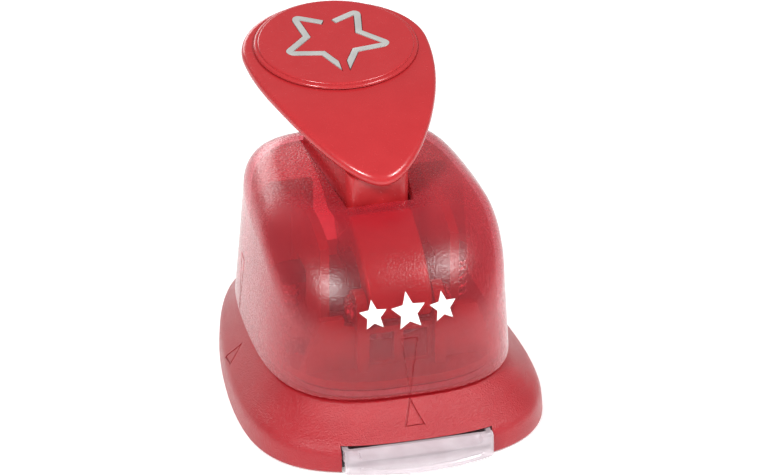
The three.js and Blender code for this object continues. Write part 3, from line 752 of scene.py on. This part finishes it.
def pad_height(y):
    """Height of the lever's upper surface: a leaning plane that droops towards the nose."""
    ahead = max(PAD_BEND - y, 0)
    return PAD_LEVEL + PAD_SLOPE * (y - PAD_BEND) - PAD_DROOP * ahead * ahead


PAD_RIM = [             # inset, depth below the pad's top, from underside to top
    (4.2, 5), (2.6, 4.4), (0.9, 2.9), (0.2, 2.1), (0, 1.3), (0.25, 0.5), (0.9, 0.08), (1.8, 0),
]


def pad_outline(count=260):
    """Plan of the pad: a round rear, and flanks that curve in to a blunt nose."""
    tip, nose, shoulder, half, centre, rear = PAD.values()
    corners = [Vector((0, tip)), Vector((nose, tip)), Vector((half, shoulder)), Vector((half, centre))]
    flank = []
    for step in range(120):
        t = step / 120
        weights = ((1 - t) ** 3, 3 * t * (1 - t) ** 2, 3 * t * t * (1 - t), t**3)
        flank.append(sum((corner * w for corner, w in zip(corners, weights)), Vector((0, 0))))
    round_end = [Vector((p.x * half, centre + p.y * (rear - centre))) for p in arc((0, 0), 1, 0, 1, 200)]
    mirrored = [Vector((-p.x, p.y)) for p in reversed(flank[1:])]
    return spaced(flank + round_end + mirrored, count)


def make_lever_head():
    outline = pad_outline()
    spine = Vector((0, PAD_SPINE))
    rows = [(*PAD_RIM[0], share) for share in (0.05, 0.3, 0.5, 0.7, 0.85)]
    rows += [(inset, drop, 1) for inset, drop in through(PAD_RIM, 4)]
    rows += [(*PAD_RIM[-1], share) for share in (0.93, 0.86, 0.75, 0.6, 0.45, 0.3, 0.15, 0.05)]
    rings = []
    for inset, drop, share in rows:
        places = [spine.lerp(p, share) for p in inset_by(outline, inset)]
        rings.append([Vector((p.x, p.y, pad_height(p.y) - drop)) for p in places])
    return loft("lever_fine", rings)


def web_outline():
    """Side view of neck and arm, in (y, z): down the neck's front, round the pivot, back by the roller."""
    points = [Vector(p) for p in ((20, 66), (-8.3, 58), (-8.3, 49.5))]
    points += bend((-8.3, 49.5), (-8.6, 48.2), (-14.7, 46.2))
    points += bend((-14.7, 46.2), (-23.5, 42.5), (-26.6, 38.2))
    points += bend((-26.6, 38.2), (-28.8, 36.2), (-29, 33))
    points += arc((PIVOT.y, PIVOT.z), 4, 1, 1.75, 20)[1:]
    points += bend(points[-1], (-20, 38.5), (-14, 40))
    points += bend((-14, 40), (-7, 41), (-4.4, 35.6))
    points += arc((ROLLER.y, ROLLER.z), 2.2, 1, 2, 20)
    points += bend((2.2, 35.6), (4, 39), (8, 43))
    points += bend((8, 43), (13, 48), (25.8, 49))
    points.append(Vector((21.2, 62)))
    return softened(spaced(points, 240), 8)


def web_slab(name, half, edge=0.0):
    """The side view made solid from -half to half. Its edges are rounded where edge is given."""
    outline = web_outline()
    slab = loft(name, [crosswise(outline, x) for x in (-half, half)])
    if edge:
        round_edges(slab, edge, 5, 60)
        bake(slab)
    return slab


def neck_outline():
    """Plan of the neck: round front edges, and wider towards the rear."""
    front, front_half, rear = NECK["front"], NECK["front_half"], NECK["rear"]
    rear_half, corner = NECK["rear_half"], NECK["corner"]
    right = [Vector((front_half - corner, front))]
    right += bend((front_half - corner, front), (front_half, front), (front_half + 0.2, front + corner))
    right.append(Vector((rear_half, rear)))
    return right + [Vector((-p.x, p.y)) for p in reversed(right)]


def cross_bar(name, radius, half, centre, count=48):
    """A round bar across the tool, through a point on its middle plane."""
    return bar(name, radius, (-half, centre.y, centre.z), (half, centre.y, centre.z), count)


def make_lever():
    arm = web_slab("arm", ARM["half"], ARM["edge"])
    cut(arm, block("over_arm", (-20, ARM["back"], ARM["top"]), (20, 40, 80)))
    neck = prism("neck", neck_outline(), NECK["bottom"], NECK["top"])
    keep_inside(neck, web_slab("neck_sides", 12))
    lever = add(make_lever_head(), arm, neck)
    seat, half = ROLLER_SEAT["radius"], ROLLER_SEAT["half"]
    roller_seat = cross_bar("roller_seat", seat, half, ROLLER)
    fork = block("fork", (-half, -seat, 30), (half, seat, ROLLER.z))
    pivot_hole = cross_bar("pivot_hole", PIVOT_HOLE, 14, PIVOT)
    pin_hole = cross_bar("pin_hole", PIN_HOLE, 14, ROLLER, 32)
    cut(lever, roller_seat, fork, pivot_hole, pin_hole)
    return settle(lever, "lever", "red_lever_plastic", RED_LEVER, "lever", sharp=38)


def offset_line(start, end, distance):
    """A straight line moved to its right by a distance."""
    along = (end - start).normalized()
    shift = Vector((along.y, -along.x)) * distance
    return start + shift, end + shift


def crossing(first, second):
    """Where two straight lines, each given by two points, meet."""
    (a, b), (c, d) = first, second
    u, v = b - a, d - c
    share = ((c - a).x * v.y - (c - a).y * v.x) / (u.x * v.y - u.y * v.x)
    return a + u * share


def half_star(side, growth=0.0):
    """Outline of half of the star: sharp inside corners, and tips rounded by the stroke's width."""
    tip, notch, stroke = STAR["tip"], STAR["notch"], STAR["stroke"] + 2 * growth
    places = [(tip, -90), (notch, -54), (tip, -18), (notch, 18), (tip, 54), (notch, 90)]
    corners = [Vector((r * math.cos(math.radians(a)), r * math.sin(math.radians(a)))) for r, a in places]
    inner = [offset_line(a, b, -growth) for a, b in zip(corners, corners[1:])]
    outer = [offset_line(a, b, stroke) for a, b in inner]
    front = (Vector((STAR["front_gap"] - growth, 0)), Vector((STAR["front_gap"] - growth, 1)))
    last = inner[-1]
    along = (last[1] - last[0]).normalized()
    stop = last[0] + along * ((last[0].x - STAR["rear_gap"]) / -along.x + growth)
    across = (stop, stop + Vector((along.y, -along.x)))
    inside = [crossing(inner[0], front)]
    inside += [crossing(a, b) for a, b in zip(inner, inner[1:])]
    inside.append(stop)
    outside = [crossing(outer[0], front)]
    for i, centre in enumerate(inside[1:-1]):
        before, after = outer[i], outer[i + 1]
        if i % 2 == 0:
            outside.append(crossing(before, after))
            continue
        first = math.atan2(*(before[1] - inner[i][1]).yx)
        turn = (math.atan2(*(after[0] - inner[i + 1][0]).yx) - first) % (2 * math.pi)
        outside += arc(centre, stroke, first / math.pi, (first + turn) / math.pi, 14)
    outside.append(crossing(outer[-1], across))
    outline = outside + list(reversed(inside))
    turned = Matrix.Rotation(math.radians(STAR["turn"]), 2)
    return [turned @ Vector((side * p.x, p.y)) + Vector((0, STAR["centre"])) for p in outline]


def on_pad(piece):
    """Moves a flat shape drawn at z = 0 up on to the leaning pad."""
    for vertex in piece.data.vertices:
        vertex.co.z += PAD_LEVEL + PAD_SLOPE * (vertex.co.y - PAD_BEND)
    return piece


def star_band(name, side, heights):
    """Half of the star as an upright band. heights holds (z, growth of the outline) rows."""
    return on_pad(loft(name, [lifted(half_star(side, growth), z) for z, growth in heights]))


def make_disc():
    """The raised oval: a step round its edge, a flat top, and grooves for the star."""
    half_x, half_y = disc_high.x, (disc_high.y - disc_low.y) / 2
    centre = Vector((0, (disc_low.y + disc_high.y) / 2))
    profile = [(0, 0.3)] + [(0.6 - p.x, 0.3 + p.y) for p in arc((0, 0), 0.6, 0, 0.5, 8)]
    profile += [(1.35 - p.x, 0.9 + p.y) for p in arc((0, 0), 0.4, 0, 0.5, 8)]
    profile += [(inset, 1.3) for inset in (2, 4, 9, 14)]
    circle = arc((0, 0), 1, -0.5, 1.4875, 159)
    rings = []
    for inset, z in profile:
        oval = [Vector((p.x * (half_x - inset), p.y * (half_y - inset))) for p in circle]
        rings.append(lifted([p + centre for p in oval], z))
    disc = on_pad(loft("pad_disc_fine", rings))
    for side in (-1, 1):
        cut(disc, star_band("star_groove", side, [(0.7, 0.12), (1.15, 0.12), (1.5, 0.3)]))
    return settle(disc, "lever", "red_lever_plastic", RED_LEVER, "pad_disc")


def make_star_strips():
    for side, name in ((-1, "left"), (1, "right")):
        strip = star_band(f"star_strip_{name}_fine", side, [(1.0, 0), (1.3, 0), (1.37, -0.03), (1.4, -0.1)])
        settle(strip, "lever", "grey_plastic", GREY, f"star_strip_{name}")


# ---------------------------------------------------------------- turned pieces and springs

def turned(node, body, slot, material, axis, edge=0.25, bore=0.0):
    """A round pin, roller, ring or disc with chamfered edges that fills the box of its CAD node."""
    low, high = span(node)
    middle, size = (low + high) / 2, high - low
    length, radius = size[axis], size[(axis + 1) % 3] / 2
    half = length / 2
    profile = [(radius - edge, -half), (radius, edge - half), (radius, half - edge), (radius - edge, half)]
    piece = revolve(f"{node}_fine", profile, 64)
    if bore:
        cut(piece, bar("bore", bore, (0, 0, -length), (0, 0, length)))
    if axis == 0:
        piece.data.transform(Matrix.Rotation(math.pi / 2, 4, "Y"))
    piece.data.transform(Matrix.Translation(middle))
    return settle(piece, body, slot, material, node)


def make_screw(node, body):
    """A pan-head screw with a crossed recess that fills the box of its CAD node."""
    low, high = span(node)
    middle, length = (low + high) / 2, high.z - low.z
    head, shank, pitch = (high.x - low.x) / 2, 1.1, 0.5
    profile = [(0.9, 0), (1.5, 0.02), (head - 0.2, 0.12), (head, 0.35), (head, 0.9), (shank, 0.9)]
    turns = int((length - 1.6) / pitch)
    for turn in range(turns):
        profile += [(shank - 0.2, 1.1 + pitch * turn), (shank, 1.35 + pitch * turn)]
    profile += [(shank - 0.25, length - 0.5), (0.15, length)]
    screw = revolve(f"{node}_fine", profile, 40)
    arm, slit, deep = 1.2, 0.22, 0.5
    cut(screw, block("recess", (-slit, -arm, -1), (slit, arm, deep)))
    cut(screw, block("recess", (-arm, -slit, -1), (arm, slit, deep)))
    driven_to = math.radians(17 * len(node) + 31 * int(node[-1]))
    screw.data.transform(Matrix.Rotation(driven_to, 4, "Z"))
    head_up = node.startswith("die")
    if head_up:
        screw.data.transform(Matrix.Rotation(math.pi, 4, "X"))
    screw.data.transform(Matrix.Translation((middle.x, middle.y, high.z if head_up else low.z)))
    return settle(screw, body, "bright_steel", BRIGHT_STEEL, node)


def make_spring(side):
    """A coil spring between the frame's foot and the ram's arm."""
    node = f"return_spring_{side}"
    low, high = span(node)
    wire, turns, closed, steps = 0.45, 5, 0.8, 36
    centre = (low + high) / 2
    radius = (high.x - low.x) / 2 - wire
    path = []
    for step in range(turns * steps + 1):
        turn = step / steps
        rise = smoothstep(turn, closed * 0.2, turns - closed * 0.2)
        share = 0.5 * rise + 0.5 * turn / turns
        angle = 2 * math.pi * turn
        z = low.z + wire + (high.z - low.z - 2 * wire) * share
        path.append(Vector((centre.x + radius * math.cos(angle), centre.y + radius * math.sin(angle), z)))
    spring = settle(tube(f"{node}_fine", path, wire), "head", "bright_steel", BRIGHT_STEEL, node, sharp=60)
    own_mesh(spring)


# ---------------------------------------------------------------- pieces kept from the frame

def finish_node(node, material, edge=0.2):
    """Gives a CAD node its material and rounded edges."""
    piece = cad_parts[node]
    for slot in piece.material_slots:
        slot.material = material
    weld = piece.modifiers.new("weld", "WELD")
    weld.merge_threshold = 1e-6
    round_edges(piece, edge * MM, 2, 35)


make_base_shell()
make_mat()
make_tray()
make_housing()
make_lever()
make_disc()
make_star_strips()

for number in (1, 2, 3, 4):
    make_screw(f"cover_screw_{number}", "base")
    make_screw(f"die_screw_{number}", "base")
    make_screw(f"guide_screw_{number}", "head")
    turned(f"base_magnet_{number}", "base", "magnet_nickel", NICKEL, 2)
    turned(f"head_magnet_{number}", "head", "magnet_nickel", NICKEL, 2)
for number in (1, 2):
    make_screw(f"punch_screw_{number}", "ram")
for side in ("left", "right"):
    make_spring(side)
    turned(f"pivot_clip_{side}", "head", "bright_steel", BRIGHT_STEEL, 0, 0.15, 2.1)
turned("pivot_pin", "head", "bright_steel", BRIGHT_STEEL, 0, 0.4)
turned("press_roller", "lever", "bright_steel", BRIGHT_STEEL, 0, 0.4, 1.2)
turned("roller_pin", "lever", "bright_steel", BRIGHT_STEEL, 0, 0.2)

finish_node("base_cover", DARK)
finish_node("die_carrier", DARK)
finish_node("die_plate", GROUND_STEEL, 0.12)
finish_node("guide_plate", GROUND_STEEL, 0.12)
# the inner frame gets the darkened red, painted shade inside the housing
finish_node("inner_frame", RED_FRAME_PAINTED_SHADE)
finish_node("ram", DARK, 0.3)
finish_node("star_punch", GROUND_STEEL, 0.08)


# ---------------------------------------------------------------- floor, light and camera

VIEW = Vector((0.2194, 0.8423, -0.4924))        # the camera looks along this
RIGHT = Vector((0.9677, -0.2521, 0))
TARGET = Vector((6.1, 14.6, 27.7)) * MM
LENS = 400
SENSOR = 36
PER_METRE = 4200                                # points of the picture to a metre at the object
WIDTH = 760                                     # the picture's width


def make_floor():
    material, tree, principled = shader("pale_floor", Roughness=0.9, Emission_Strength=0.3)
    pale = shades(tree, noise(tree, 0.3), (0.90, 0.90, 0.90), (0.93, 0.93, 0.93))
    tree.links.new(pale, principled.inputs["Base Color"])
    half, depth, below = 6.0, 0.02, 0.00002
    floor = block("floor", (-half, -half, -depth), (half, half, -below))
    floor.data.materials.append(material)


def make_light(name, direction, distance, width, height, power, mirrored=True):
    """A softbox that faces the object. One that isn't mirrored fills shadows and leaves no highlight."""
    data = bpy.data.lights.new(name, "AREA")
    data.shape = "RECTANGLE"
    data.size, data.size_y = width, height
    data.energy = power
    lamp = bpy.data.objects.new(name, data)
    bpy.context.scene.collection.objects.link(lamp)
    direction = Vector(direction).normalized()
    lamp.visible_camera = False
    lamp.visible_glossy = mirrored
    lamp.location = TARGET + direction * distance
    lamp.rotation_euler = (-direction).to_track_quat("-Z", "Y").to_euler()


def make_camera():
    data = bpy.data.cameras.new("camera")
    data.lens = LENS
    data.sensor_width = SENSOR
    data.clip_end = 20
    camera = bpy.data.objects.new("camera", data)
    bpy.context.scene.collection.objects.link(camera)
    view, right = VIEW.normalized(), RIGHT.normalized()
    up = right.cross(view)
    distance = LENS / SENSOR * WIDTH / PER_METRE
    turn = Matrix((right, up, -view)).transposed().to_4x4()
    camera.matrix_world = Matrix.Translation(TARGET - view * distance) @ turn
    bpy.context.scene.camera = camera


make_floor()
make_light("softbox_left", (-0.46, -0.54, 0.71), 0.7, 0.11, 0.11, 3.4)
make_light("softbox_right", (0.50, -0.40, 0.76), 0.7, 0.17, 0.10, 2.8)
make_light("softbox_front", (-0.20, -0.88, 0.36), 0.9, 0.70, 0.50, 1.3, mirrored=False)
make_light("softbox_behind", (-0.15, 0.90, 0.33), 1.6, 0.90, 0.60, 9)
make_camera()

world = bpy.data.worlds.new("studio")
world.use_nodes = True
world.node_tree.nodes["Background"].inputs["Color"].default_value = (1, 1, 1, 1)
world.node_tree.nodes["Background"].inputs["Strength"].default_value = 0.34
bpy.context.scene.world = world
bpy.context.scene.view_settings.view_transform = "Standard"
